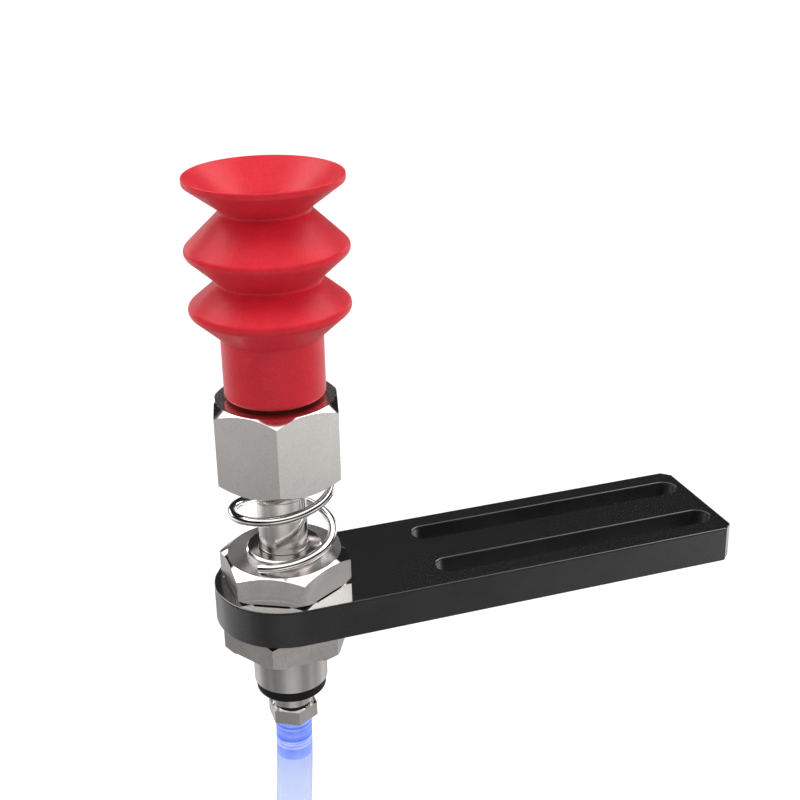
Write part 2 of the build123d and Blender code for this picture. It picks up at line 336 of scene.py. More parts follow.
def spun(name, corners, sides=SPUN_SIDES, place=SHAFT, base=0.0, way=1):
    """Spins an outline about an upright line. Heights count from base, upward for way 1."""
    mould = bmesh.new()
    rings = []
    for radius, height in softened(corners):
        ring = []
        for step in range(sides):
            angle = 2 * math.pi * step / sides
            spot = Vector((radius * math.cos(angle), radius * math.sin(angle), way * height))
            ring.append(mould.verts.new(place + Vector((0, 0, base)) + spot * MM))
        rings.append(ring)
    for first, second in zip(rings, rings[1:] + rings[:1]):
        skin(mould, first, second)
    return shade(emptied(mould, name))


print("a turned piece has", SPUN_SIDES, "sides")

# %% [markdown]
# ## Hexagons with turned corners
# A nut starts as hexagon bar, and a lathe then turns its corners off at a slope. Where that cone
# meets a flat side it leaves the curved edge that every nut has. A boolean cut with a cone would
# leave ragged faces there. The curve needs no cut: at each angle the side's distance from the axis
# is known, and the cone's height follows from it.

# %% Make a hexagon
HEX_STEPS = 40
SLIVER = 0.02


def hexagon(name, turn, flats, bottom, top, low_flat, high_flat, slope, bore, place=SHAFT,
            bright=(3, 5, 7), recess=(0.0, 0.0)):
    """A hexagon block with a round bore, in millimetres.

    bright lists the bands of its profile that a lathe has turned. recess is the radius and the
    depth of a hollow in its lower end.
    """
    mould = bmesh.new()
    rise = math.tan(math.radians(slope))
    recess_radius, recess_depth = recess
    levels = [[] for _ in range(8)]
    for step in range(6 * HEX_STEPS):
        angle = 2 * math.pi * step / (6 * HEX_STEPS)
        from_face = (angle % (math.pi / 3)) - math.pi / 6
        side = flats / 2 / math.cos(from_face)
        heading = angle + math.radians(turn)
        low_ring, high_ring = min(low_flat, side - SLIVER), min(high_flat, side - SLIVER)
        open_side = side < recess_radius
        floor_radius = max(bore + SLIVER, min(recess_radius, side - 2 * SLIVER))
        rim = bottom + recess_depth if open_side else bottom
        side_start = rim if open_side else bottom + (side - low_ring) * rise
        profile = (
            (bore, bottom + recess_depth),
            (floor_radius, bottom + recess_depth),
            (floor_radius + SLIVER / 2, rim),
            (low_ring, rim),
            (side, side_start),
            (side, top - (side - high_ring) * rise),
            (high_ring, top),
            (bore, top),
        )
        for level, (radius, height) in zip(levels, profile):
            spot = Vector((radius * math.cos(heading), radius * math.sin(heading), height))
            level.append(mould.verts.new(place + spot * MM))
    for number, (first, second) in enumerate(zip(levels, levels[1:] + levels[:1])):
        skin(mould, first, second, 1 if number in bright else 0)
    return emptied(mould, name)


print("a hexagon has", HEX_STEPS, "steps on each side")

# %% [markdown]
# A file or a tumbling drum takes the sharpness off every edge, and without that a metal block
# looks drawn. The edges of a hexagon meet at many angles, so here the bevel modifier is the short
# way: it finds them by their angle.

# %% Break the edges
EDGE_BREAK = 0.09
EDGE_ANGLE = 24.0
EDGE_SEGMENTS = 2


def broken_edges(mesh, width=EDGE_BREAK):
    """The mesh with its sharp edges cut back by a narrow bevel that catches the light."""
    blank = placed("blank", mesh)
    bevel = blank.modifiers.new("edge", "BEVEL")
    bevel.width = width * MM
    bevel.segments = EDGE_SEGMENTS
    bevel.limit_method = "ANGLE"
    bevel.angle_limit = math.radians(EDGE_ANGLE)
    bevel.harden_normals = True
    mesh.shade_smooth()
    finished = bpy.data.meshes.new_from_object(
        blank.evaluated_get(bpy.context.evaluated_depsgraph_get())
    )
    bpy.data.objects.remove(blank)
    finished.name = mesh.name
    return finished


print("edges are broken by", EDGE_BREAK, "mm")


# %% [markdown]
# ## The arm
# The arm is a flat bar of black anodised aluminium, round about the bush and cut with two long
# slots. A filled 2D curve is the short way to such a plate: it takes the outline and the holes as
# loops, gives them thickness, and rounds every rim by the same small bevel.

# %% Draw the arm's loops
ARM_CORNER_CUT = 1.5 * MM
SLOT_LENGTH = 51.4 * MM
SLOT_WIDTH = 4.4 * MM
SLOT_SPACING = 11.8 * MM
NOSE_STEPS = 64
HOLE_STEPS = 120
SLOT_STEPS = 24
arm_low_corner, arm_high_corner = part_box("bracket_arm")
arm_half_width = (arm_high_corner[0] - arm_low_corner[0]) / 2
arm_end = arm_high_corner[1]


def arc(centre_x, centre_y, radius, start, sweep, steps):
    """Points along an arc, with its angles in degrees."""
    angles = [math.radians(start + sweep * step / steps) for step in range(steps + 1)]
    return [
        (centre_x + radius * math.cos(a), centre_y + radius * math.sin(a)) for a in angles
    ]


arm_loop = arc(SHAFT.x, SHAFT.y, arm_half_width, 180, 180, NOSE_STEPS)
arm_loop += [
    (arm_half_width, arm_end - ARM_CORNER_CUT),
    (arm_half_width - ARM_CORNER_CUT, arm_end),
    (-arm_half_width + ARM_CORNER_CUT, arm_end),
    (-arm_half_width, arm_end - ARM_CORNER_CUT),
]
hole_sweep = 360 - 360 // HOLE_STEPS
bush_loop = arc(SHAFT.x, SHAFT.y, radius_of("guide_bush"), 0, hole_sweep, HOLE_STEPS - 1)
arm_loops = [arm_loop, bush_loop]
slot_reach = (SLOT_LENGTH - SLOT_WIDTH) / 2
for slot_x in (-SLOT_SPACING / 2, SLOT_SPACING / 2):
    slot_loop = arc(slot_x, slot_reach, SLOT_WIDTH / 2, 0, 180, SLOT_STEPS)
    slot_loop += arc(slot_x, -slot_reach, SLOT_WIDTH / 2, 180, 180, SLOT_STEPS)
    arm_loops.append(slot_loop)
print("the arm has one outline and", len(arm_loops) - 1, "holes")

# %% Cut the arm
ARM_RIM = 0.25 * MM
RIM_CREASE = 15.0
plate = bpy.data.curves.new("arm_plate", "CURVE")
plate.dimensions = "2D"
plate.fill_mode = "BOTH"
plate.extrude = (arm_top - arm_bottom) / 2 - ARM_RIM
plate.bevel_depth = ARM_RIM
plate.bevel_resolution = 1
plate.offset = -ARM_RIM
for loop in arm_loops:
    spline = plate.splines.new("POLY")
    spline.points.add(len(loop) - 1)
    spline.use_cyclic_u = True
    for knot, (x, y) in zip(spline.points, loop):
        knot.co = (x, y, 0, 1)
plate_object = bpy.data.objects.new("arm_plate_curve", plate)
arm_mesh = bpy.data.meshes.new_from_object(plate_object)
arm_mesh.transform(Matrix.Translation((0, 0, (arm_top + arm_bottom) / 2)))
bpy.data.objects.remove(plate_object)
arm = link("arm_plate", shade(arm_mesh, RIM_CREASE), "arm", "bracket_arm")

# %% [markdown]
# ## The guide bush
# The bush is the sleeve that guides the rod through the arm. It is ground bar, so its outline is
# plain, and only the broken edges at its ends need care. At the top a lip closes in on the rod and
# hides the bearing liner.

# %% Turn the bush
ROD_RADIUS = 4.0
BUSH_EDGE = 0.3
BUSH_LIP = 1.2
LINER_SEAT = 4.8
LIP_BORE = ROD_RADIUS + 0.1
bush_low, bush_high = span("guide_bush")
bush_radius = radius_of("guide_bush") / MM
bush_outline = [
    (LINER_SEAT, bush_low),
    (bush_radius - BUSH_EDGE, bush_low, 0.08),
    (bush_radius, bush_low + BUSH_EDGE, 0.12),
    (bush_radius, bush_high - BUSH_EDGE, 0.12),
    (bush_radius - BUSH_EDGE, bush_high, 0.08),
    (LIP_BORE, bush_high, 0.06),
    (LIP_BORE, bush_high - BUSH_LIP),
    (LINER_SEAT, bush_high - BUSH_LIP),
]
bush = link("ground_bush", spun("ground_bush", bush_outline), "arm", "guide_bush")

# %% [markdown]
# ## The hollow rod
# The rod carries the cup and leads the air down. One outline holds all its steps: the slimmer end
# that the fitting screws into, the ledge and the groove that hold the ring, and the wide shoulder
# that the cup holder stands on.

# %% Turn the rod
ROD_BORE = 1.75
ROD_END_CHAMFER = 0.5
NECK_RADIUS = 3.5
RING_LEDGE = 0.4
GROOVE_DEPTH = 0.4
GROOVE_ROOM = 0.02
SHOULDER_LENGTH = 3.4
shoulder_radius = radius_of("plunger_rod") / MM
ring_low, ring_high = span("bumper_ring")
rod_low, rod_high = span("plunger_rod")
holder_low, holder_high = span("hex_holder")
rod_outline = [
    (ROD_BORE, rod_low),
    (NECK_RADIUS - ROD_END_CHAMFER, rod_low, 0.1),
    (NECK_RADIUS, rod_low + ROD_END_CHAMFER, 0.12),
    (NECK_RADIUS, ring_low - RING_LEDGE, 0.1),
    (ROD_RADIUS, ring_low - RING_LEDGE, 0.08),
    (ROD_RADIUS, ring_low - GROOVE_ROOM),
    (ROD_RADIUS - GROOVE_DEPTH, ring_low - GROOVE_ROOM),
    (ROD_RADIUS - GROOVE_DEPTH, ring_high + GROOVE_ROOM),
    (ROD_RADIUS, ring_high + GROOVE_ROOM),
    (ROD_RADIUS, holder_low - SHOULDER_LENGTH),
    (shoulder_radius, holder_low - SHOULDER_LENGTH, 0.15),
    (shoulder_radius, holder_low),
    (ROD_RADIUS, holder_low),
    (ROD_RADIUS, rod_high),
    (ROD_BORE, rod_high),
]
rod = link("ground_rod", spun("ground_rod", rod_outline), "plunger", "plunger_rod")

# %% [markdown]
# ## The rubber ring
# The ring snaps into the rod's groove and stops the rod softly against the bush. Its lower edge is
# rounded far more than the upper one, which lies against the bush.

# %% Mould the ring
ring_radius = radius_of("bumper_ring") / MM
ring_bore = ROD_RADIUS - GROOVE_DEPTH + GROOVE_ROOM
ring_outline = [
    (ring_bore, ring_low, 0.1),
    (ring_radius, ring_low, 0.6),
    (ring_radius, ring_high, 0.12),
    (ring_bore, ring_high, 0.1),
]
ring = link("rubber_ring", spun("rubber_ring", ring_outline), "plunger", "bumper_ring")

# %% [markdown]
# ## The two nuts
# The nuts clamp the arm between them on the bush. They are the same nut, put on the same way up,
# with a shallow recess in the underside that lets a dark gap show at the middle of each side. One
# loop makes both, and only the turn differs, as a spanner left them.

# %% Turn the two nuts
NUT_FLATS = 19.0
NUT_SLOPE = 32.0
NUT_TOP_FLAT = 9.24
NUT_BOTTOM_FLAT = 10.08
NUT_RECESS = (9.93, 0.2)
NUT_BORE = bush_radius + 0.02
for nut_node, nut_turn in (("upper_nut", 1.8), ("lower_nut", 31.8)):
    nut_mesh = hexagon(
        nut_node + "_turned", nut_turn, NUT_FLATS, *span(nut_node),
        NUT_BOTTOM_FLAT, NUT_TOP_FLAT, NUT_SLOPE, NUT_BORE, recess=NUT_RECESS,
    )
    link(nut_node + "_turned", broken_edges(nut_mesh), "arm", nut_node)

# %% [markdown]
# ## The spring
# The spring is an open coil of bright wire that climbs about one and a half turns from the upper
# nut to the cup holder. It is a tube along a helix.

# %% Wind the spring
WIRE_RADIUS = 0.75
COIL_RADIUS = 8.05
COIL_TURNS = 1.47
COIL_START = -43.0
COIL_STEPS = 240
WIRE_SIDES = 28
coil_low, coil_high = span("spring")
coil_low, coil_high = coil_low + WIRE_RADIUS, coil_high - WIRE_RADIUS
coil_line = []
for step in range(COIL_STEPS + 1):
    share = step / COIL_STEPS
    angle = math.radians(COIL_START + 360 * COIL_TURNS * share)
    height = coil_low + (coil_high - coil_low) * share
    spot = Vector((COIL_RADIUS * math.cos(angle), COIL_RADIUS * math.sin(angle), height))
    coil_line.append(SHAFT + spot * MM)
coil_mesh = tube("wire_coil", coil_line, WIRE_RADIUS * MM, WIRE_SIDES)
coil = link("wire_coil", coil_mesh, "spring", "spring")
slide = [joint for joint in frame["joints"] if joint["name"] == "plunger_slide"][0]
travel = max(abs(limit) for limit in slide["range_m"])
coil_height = high("spring") - nut_top
1 - travel / coil_height
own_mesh(coil)

# %% [markdown]
# ## The cup holder
# The tall hexagon holds the cup's nipple. It is made like a nut, and stands on the rod's shoulder.
# Its turned ends are bright from the lathe and its sides are satin, so the mesh marks which face
# gets which finish.

# %% Turn the cup holder
HOLDER_FLATS = 19.0
HOLDER_TURN = 45.9
HOLDER_SLOPE = 36.5
HOLDER_FLAT_RADIUS = 9.4
NIPPLE_HOLE = 5.7
holder_mesh = hexagon(
    "holder_block", HOLDER_TURN, HOLDER_FLATS, holder_low, holder_high,
    HOLDER_FLAT_RADIUS, HOLDER_FLAT_RADIUS, HOLDER_SLOPE, NIPPLE_HOLE,
)
link("holder_block", broken_edges(holder_mesh), "plunger", "hex_holder")

# %% [markdown]
# ## The bellows cup
# The cup is one soft moulding. It could be sculpted, but a moulded cup is as round as its mould,
# so it is spun like the metal. Its outline goes up the outside of the cuff and the folds to the
# lip, and comes back down the inside one wall's thickness away. The crests and the necks are
# rounded, which the light finds.

# %% Mould the cup
CUFF_RADIUS = 7.9
CUFF_TOP = 9.8
FOLD_RADIUS = 12.85
LOWER_FOLD, LOWER_NECK, UPPER_FOLD, UPPER_NECK = 14.35, 18.6, 23.3, 29.35
LOWER_NECK_RADIUS, UPPER_NECK_RADIUS = 7.8, 6.65
LIP_RADIUS, LIP_UNDER, LIP_TOP = 12.0, 33.45, 34.45
CUP_WALL = 1.6
CUP_BORE = 5.05
CUP_SIDES = 256
NIPPLE_TOP = 8.45
cup_outline = [
    (CUP_BORE, 0.0),
    (CUFF_RADIUS, 0.0, 0.7),
    (CUFF_RADIUS, CUFF_TOP, 0.5),
    (FOLD_RADIUS, LOWER_FOLD, 1.0),
    (LOWER_NECK_RADIUS, LOWER_NECK, 0.4),
    (FOLD_RADIUS, UPPER_FOLD, 1.0),
    (UPPER_NECK_RADIUS, UPPER_NECK, 0.4),
    (LIP_RADIUS, LIP_UNDER, 0.35),
    (LIP_RADIUS, LIP_TOP, 0.22),
    (LIP_RADIUS - 0.5, LIP_TOP, 0.2),
    (UPPER_NECK_RADIUS - CUP_WALL, UPPER_NECK, 1.2),
    (FOLD_RADIUS - CUP_WALL, UPPER_FOLD, 0.6),
    (LOWER_NECK_RADIUS - CUP_WALL, LOWER_NECK, 0.6),
    (FOLD_RADIUS - CUP_WALL, LOWER_FOLD, 0.6),
    (CUP_BORE, NIPPLE_TOP, 0.3),
]
cup_mesh = spun("bellows_cup", cup_outline, sides=CUP_SIDES, base=cup_bottom)
cup = link("bellows_cup", cup_mesh, "plunger", "suction_cup")

# %% [markdown]
# ## The barbed fittings
# The same small fitting closes the rod and the far end of the hose. Its barb is a row of saw teeth
# that slope towards the tip, so a hose goes on easily and doesn't come off. Through the clear hose
# the teeth show as rings. Barb and thread together are one outline. The thread is drawn as rings
# and not as a helix, which at this size nobody can tell apart.

# %% Draw the fitting's outline
FITTING_HEX = 2.5
FITTING_BORE = 1.1
THREAD_RADIUS, THREAD_LENGTH = 2.5, 4.5
THREAD_PITCH, THREAD_DEPTH = 0.8, 0.3
CREST_START, CREST_END = 0.4, 0.6
RELIEF_RADIUS, RELIEF_LENGTH = 2.1, 0.6
STEP_DEPTH = 0.2
BARB_NECK, BARB_LENGTH, BARB_TEETH = 1.4, 7.8, 3
BARB_CREST, BARB_ROOT = 2.06, 1.7


def fitting_outline():
    """The thread above height zero and the barb below the hexagon, as one outline."""
    tooth = (BARB_LENGTH - BARB_NECK) / BARB_TEETH
    points = [(FITTING_BORE, -FITTING_HEX - BARB_LENGTH)]
    for step in range(BARB_TEETH):
        near = -FITTING_HEX - BARB_LENGTH + tooth * (step + 1)
        points += [(BARB_ROOT, near - tooth), (BARB_CREST, near, 0.05)]
    points += [(BARB_ROOT, -FITTING_HEX - BARB_NECK), (BARB_ROOT, -STEP_DEPTH)]
    points += [(RELIEF_RADIUS, -STEP_DEPTH), (RELIEF_RADIUS, RELIEF_LENGTH)]
    root, height = THREAD_RADIUS - THREAD_DEPTH, RELIEF_LENGTH
    while height + THREAD_PITCH <= THREAD_LENGTH:
        points.append((root, height))
        points.append((THREAD_RADIUS, height + THREAD_PITCH * CREST_START))
        points.append((THREAD_RADIUS, height + THREAD_PITCH * CREST_END))
        height += THREAD_PITCH
    return points + [(root, height), (root, THREAD_LENGTH), (FITTING_BORE, THREAD_LENGTH)]


print("the fitting's outline has", len(fitting_outline()), "corners")

# %% [markdown]
# One loop turns both fittings, the upper thread up and the far one down.

# %% Turn the fittings
FITTING_FLATS = 7.4
FITTING_TURN = -0.4
FITTING_EDGE = 0.07
STEM_SIDES = 96
PLAIN_CORNER = FITTING_FLATS / math.sqrt(3)
PLAIN_SLOPE = 0.0
hose_end = hose_line[-1]
fitting_seats = {
    "barb_fitting": (SHAFT, high("barb_fitting") - THREAD_LENGTH * MM, 1),
    "hose_end_fitting": (Vector((hose_end.x, hose_end.y, 0)),
                         low("hose_end_fitting") + THREAD_LENGTH * MM, -1),
}
for fitting_node, (seat, seat_height, way) in fitting_seats.items():
    stem = spun(fitting_node + "_stem", fitting_outline(), STEM_SIDES, seat, seat_height, way)
    base = seat_height / MM
    ends = sorted((base, base - way * FITTING_HEX))
    nut_mesh = hexagon(
        fitting_node + "_hex", FITTING_TURN, FITTING_FLATS, ends[0], ends[1],
        PLAIN_CORNER, PLAIN_CORNER, PLAIN_SLOPE, BARB_ROOT, seat, bright=(3, 5, 6),
    )
    link(fitting_node + "_stem", stem, "plunger")
    link(fitting_node + "_hex", broken_edges(nut_mesh, FITTING_EDGE), "plunger", fitting_node)

# %% [markdown]
# ## A small language for finishes
# A finish is a graph of nodes, and graphs are hard to read as code. So a socket is wrapped in a
# class whose operators add Math nodes: `1 - mask * 0.5` then says what it does. Each operator has
# its reflected form as well, which Python calls when the number stands first.

# %% Wrap a socket
class Signal:
    """A value that a finish works out at each point of a surface."""

    def __init__(self, finish, socket):
        self.finish = finish
        self.socket = socket

    def math(self, operation, *terms):
        return self.finish.math(operation, *terms)

    def __add__(self, other):
        return self.math("ADD", self, other)

    def __radd__(self, other):
        return self.math("ADD", other, self)

    def __sub__(self, other):
        return self.math("SUBTRACT", self, other)

    def __rsub__(self, other):
        return self.math("SUBTRACT", other, self)

    def __mul__(self, other):
        return self.math("MULTIPLY", self, other)

    def __rmul__(self, other):
        return self.math("MULTIPLY", other, self)

    def __truediv__(self, other):
        return self.math("DIVIDE", self, other)

    def __rtruediv__(self, other):
        return self.math("DIVIDE", other, self)

    def __abs__(self):
        return self.math("ABSOLUTE", self)

    def clamped(self):
        """The value held between zero and one."""
        return self.math("MINIMUM", self.math("MAXIMUM", self, 0.0), 1.0)

    def between(self, start, end):
        """Zero at start, one at end, and a straight ramp from one to the other."""
        return ((self - start) / (end - start)).clamped()


print("signals understand + - * / and abs")

# %% [markdown]
# Anything that is not plain arithmetic goes through one method, which takes the node's type, its
# settings and the values of its sockets. Colours and vectors have nodes of their own for that,
# because a Math node would turn a colour grey.

# %% Add nodes to a tree
class Graph:
    """A node tree, with the calls that the finishes and the sky below need."""

    def __init__(self, tree):
        self.tree = tree

    def node(self, kind, settings=None, inputs=None, output=0):
        """Adds one node of any type. Its settings are set before its sockets are joined."""
        made = self.tree.nodes.new(kind)
        for key, value in (settings or {}).items():
            if key == "stops":
                self.fill_ramp(made.color_ramp, value)
            else:
                setattr(made, key, value)
        for key, value in (inputs or {}).items():
            self.join(made.inputs[key], value)
        return Signal(self, made.outputs[output])

    def fill_ramp(self, ramp, stops):
        while len(ramp.elements) < len(stops):
            ramp.elements.new(0.5)
        for element, (position, colour) in zip(ramp.elements, stops):
            element.position = position
            element.color = (*colour, 1)

    def join(self, socket, value):
        if isinstance(value, Signal):
            self.tree.links.new(value.socket, socket)
        else:
            socket.default_value = value

    def math(self, operation, *terms):
        inputs = dict(enumerate(terms))
        return self.node("ShaderNodeMath", {"operation": operation}, inputs)

    def place(self):
        """Where a point lies in the row frame, in metres."""
        return self.node("ShaderNodeTexCoord", output="Object")

    def ray(self, kind):
        """One where the surface or the sky is met by a ray of that kind, and zero elsewhere."""
        return self.node("ShaderNodeLightPath", output="Is %s Ray" % kind)

    def axis(self, output, source=None):
        """One coordinate of a point or of another vector."""
        vector = source or self.place()
        return self.node("ShaderNodeSeparateXYZ", None, {0: vector}, output)

    def noise(self, scale, detail=3.0, roughness=0.5, vector=None):
        """Cloudy values between zero and one, by default with grains of 1 / scale metres."""
        inputs = {"Vector": vector or self.place(), "Scale": scale}
        inputs.update({"Detail": detail, "Roughness": roughness})
        return self.node("ShaderNodeTexNoise", None, inputs, "Fac")

    def streaks(self, scales, detail=2.0, roughness=0.5):
        """Noise with a scale of its own along each axis."""
        inputs = {0: self.place(), 1: scales}
        vector = self.node("ShaderNodeVectorMath", {"operation": "MULTIPLY"}, inputs)
        return self.noise(1.0, detail, roughness, vector)

    def blend(self, share, first, second):
        """A colour between two others."""
        settings = {"data_type": "RGBA"}
        return self.node("ShaderNodeMix", settings, {0: share, 6: first, 7: second}, 2)


print("graphs know place, ray, axis, noise, streaks and blend")

# %% [markdown]
# A finish is a graph that ends in a surface shader. What is the same all over is set on the
# shader's own socket, and what varies is sent there as a signal. A second shader can take over by
# a share, as a mirror does at a shallow angle. A mesh may mark some faces for a second finish.

# %% Make a finish
class Finish(Graph):
    """A material with one surface shader, or with a second one that shows through it."""

    def __init__(self, name, **constants):
        self.material = bpy.data.materials.new(name)
        self.material.use_nodes = True
        super().__init__(self.material.node_tree)
        self.shader = self.tree.nodes["Principled BSDF"]
        self.preset(self.shader, constants)

    def preset(self, shader, constants):
        for socket, value in constants.items():
            shader.inputs[socket.replace("_", " ")].default_value = value

    def drive(self, socket, value, shader=None):
        """Sends a value to the surface shader, or to the one that is given."""
        self.join((shader or self.shader).inputs[socket], value)

    def colour(self, share, dark, light, shader=None):
        """A base colour that varies between two tones, each given as red, green and blue."""
        self.drive("Base Color", self.blend(share, rgb(*dark), rgb(*light)), shader)

    def second(self, share, **constants):
        """A second surface shader, which takes over by the given share."""
        below, above = Signal(self, self.shader.outputs[0]), self.node("ShaderNodeBsdfPrincipled")
        shader = above.socket.node
        self.preset(shader, constants)
        mixed = self.node("ShaderNodeMixShader", None, {0: share, 1: below, 2: above})
        self.join(self.tree.nodes["Material Output"].inputs[0], mixed)
        return shader

    def bump(self, height, depth, strength=1.0):
        """Raises the surface by height times depth, in metres."""
        inputs = {"Strength": strength, "Distance": depth, "Height": height}
        self.drive("Normal", self.node("ShaderNodeBump", None, inputs, "Normal"))


def paint(finish, *pieces, marked=None):
    """Gives pieces one finish, and a second one on the faces that their mesh marks."""
    for piece in pieces:
        faces = piece.data.polygons
        marks = [face.material_index for face in faces]
        piece.data.materials.clear()
        piece.data.materials.append(finish.material)
        if marked:
            piece.data.materials.append(marked.material)
            faces.foreach_set("material_index", marks)


def rgb(red, green, blue):
    """A colour as a shader wants it."""
    return (red, green, blue, 1.0)


print("each of the", len(bpy.data.meshes), "meshes now waits for its finish")

# %% [markdown]
# ## Black anodised aluminium
# Anodising is a hard glassy skin over the metal. Seen from straight above it is nearly black, and
# at a shallow angle it turns into a mirror, which is why the nut shows again in the arm's top. One
# shader can't be that black and that bright, so a mirror is mixed over the black by Layer Weight.
# The top is lapped and mirrors well, while the milled sides are duller and take longer to shine.

# %% Anodise the arm
TOP_MIRROR, SIDE_SHEEN, SIDE_MIRROR = 0.87, 0.26, 0.40
anodised = Finish("black_anodised", Specular_IOR_Level=0.5)
grain = anodised.noise(9000.0, 2.0)
cloud = anodised.noise(90.0, 3.0)
facing = anodised.node("ShaderNodeLayerWeight", None, {"Blend": 0.5}, "Facing")
normal = anodised.node("ShaderNodeNewGeometry", output="Normal")
level = abs(anodised.axis("Z", normal)).between(0.7, 0.95)
top_gloss = facing.between(0.42, 0.48) * TOP_MIRROR
side_gloss = facing.between(0.20, 0.42) * SIDE_SHEEN + facing.between(0.58, 0.85) * SIDE_MIRROR
gloss = side_gloss + (top_gloss - side_gloss) * level
anodised.colour(cloud.between(0.35, 0.65), (0.010, 0.010, 0.0105), (0.016, 0.016, 0.0165))
anodised.drive("Roughness", 0.22 + cloud * 0.06 + grain * 0.06)
mirror = anodised.second(gloss, Metallic=1.0)
anodised.colour(grain, (0.86, 0.86, 0.86), (0.92, 0.92, 0.92), mirror)
anodised.drive("Roughness", 0.04 + grain * 0.03 + (1 - level) * 0.16, mirror)
paint(anodised, arm)
print("the anodised skin takes", len(anodised.tree.nodes), "nodes")

# %% [markdown]
# ## Nickel, satin and turned
# The nuts and the cup holder are nickel plated. Their flat sides keep a satin grain from the
# tumbling, and their turned ends stay bright. Both come from one function, which sets how rough
# and how grey the metal is.

# %% Plate the hexagons
def nickel(name, colour, rough, grain_depth, sparkle):
    """Nickel plate with a fine grain of the given depth, in metres."""
    plate_finish = Finish(name, Metallic=1.0)
    fine = plate_finish.noise(3400.0, 3.0, 0.65)
    patch = plate_finish.noise(260.0, 3.0)
    tint = (fine * 0.6 + patch * 0.4).between(0.3, 0.7)
    plate_finish.colour(tint, [channel * (1 - sparkle) for channel in colour], colour)
    plate_finish.drive("Roughness", rough + patch * 0.06 + fine * 0.05)
    plate_finish.bump(fine, grain_depth)
    return plate_finish


satin = nickel("satin_nickel", (0.815, 0.78, 0.752), 0.18, 0.0000032, 0.20)
turned = nickel("turned_nickel", (0.79, 0.765, 0.745), 0.0, 0.0000003, 0.04)
hexagons = ("upper_nut_turned", "lower_nut_turned", "holder_block",
            "barb_fitting_hex", "hose_end_fitting_hex")
for piece_name in hexagons:
    paint(satin, bpy.data.objects[piece_name], marked=turned)
paint(turned, *[bpy.data.objects[node + "_stem"] for node in fitting_seats])
print(len(hexagons), "hexagons and", len(fitting_seats), "stems are plated")

# %% [markdown]
# ## Ground steel
# The rod, the bush and the spring wire are polished steel. Turning leaves rings too fine to see
# one by one, and they stretch the reflections a little up and down the bar.

# %% Polish the steel
RINGS_PER_METRE = 16000.0
ground = Finish("ground_steel", Metallic=1.0)
rings = ground.streaks((300.0, 300.0, RINGS_PER_METRE), roughness=0.6)
haze = ground.noise(180.0, 3.0)
ground.colour(haze.between(0.3, 0.7), (0.67, 0.64, 0.62), (0.75, 0.72, 0.70))
ground.drive("Roughness", 0.08 + haze * 0.05 + rings * 0.04)
ground.bump(rings, 0.0000012)
paint(ground, rod, bush)
print("turning rings", round(1 / RINGS_PER_METRE / MM, 3), "mm apart")

# %% [markdown]
# The spring's wire was drawn through a die, so it has hardly any grain and is brighter than the
# ground bar. That makes it a finish of its own.

# %% Polish the wire
bright = Finish("bright_wire", Metallic=1.0)
drawn = bright.noise(2400.0, 2.0)
bright.colour(drawn, (0.74, 0.72, 0.705), (0.82, 0.80, 0.785))
bright.drive("Roughness", 0.07 + drawn * 0.05)
bright.bump(drawn, 0.0000006)
paint(bright, coil)
print("the wire takes", len(bright.tree.nodes), "nodes")

# %% [markdown]
# ## Red silicone
# Moulded silicone has the mould's fine spark-eroded texture: matt, a little waxy, with small
# darker pits. Two noises give it, a fine one for the pits and a coarser one that mottles the red.
# A weak subsurface glow keeps the thin folds from going black.

# %% Colour the cup
PIT_DEPTH = 0.000018
silicone = Finish("red_silicone", Subsurface_Weight=0.08, Subsurface_Scale=0.002,
                  Specular_IOR_Level=0.30, Sheen_Weight=0.06, Sheen_Roughness=0.35)
silicone.shader.inputs["Subsurface Radius"].default_value = (1.0, 0.25, 0.2)
speck = silicone.noise(3200.0, 4.0, 0.7)
mottle = silicone.noise(420.0, 4.0, 0.6)
base_red = silicone.blend(
    mottle.between(0.3, 0.7), rgb(0.53, 0.010, 0.022), rgb(0.60, 0.014, 0.028))
silicone.drive("Base Color", silicone.blend(
    speck.between(0.50, 0.72) * 0.55, base_red, rgb(0.30, 0.006, 0.012)))
silicone.drive("Roughness", 0.36 + speck * 0.12)
silicone.bump(speck, PIT_DEPTH)
paint(silicone, cup)
print("pits of at most", round(PIT_DEPTH / MM, 3), "mm")

# %% [markdown]
# ## Black rubber
# The ring and the seals are nitrile rubber with a faint moulding grain. The seals are packed
# solids that stay as they are, so only their finish is given here.

# %% Finish the rubber
nodes = frame["nodes"]
rubber = Finish("black_rubber", Metallic=0.0, Specular_IOR_Level=0.2)
skin_grain = rubber.noise(4000.0, 3.0)
rubber.colour(skin_grain, (0.004, 0.004, 0.004), (0.010, 0.010, 0.010))
rubber.drive("Roughness", 0.45 + skin_grain * 0.12)
rubber.bump(skin_grain, 0.000006)
seals = ("holder_seal", "nipple_seal", "fitting_seal", "hose_end_seal")
paint(rubber, ring, *[nodes[name] for name in seals])
print("the ring and", len(seals), "seals are rubber")

# %% [markdown]
# ## Brass and bronze
# Inside, the nipple is brass bar with the fine rings of turning. The liners are sintered bronze,
# which is full of fine dark pores that hold its oil, so their noise also darkens the colour.

# %% Finish the inner metals
brass = Finish("turned_brass", Metallic=1.0)
cut = brass.streaks((400.0, 400.0, 9000.0))
brass.colour(cut, (0.62, 0.43, 0.17), (0.72, 0.53, 0.24))
brass.drive("Roughness", 0.22 + cut * 0.08)
brass.bump(cut, 0.000002)

bronze = Finish("sintered_bronze", Metallic=1.0)
pores = bronze.noise(3600.0, 3.0, 0.7)
bronze.colour(pores.between(0.4, 0.6), (0.22, 0.12, 0.05), (0.55, 0.34, 0.15))
bronze.drive("Roughness", 0.38 + pores * 0.15)
bronze.bump(pores, 0.000008)

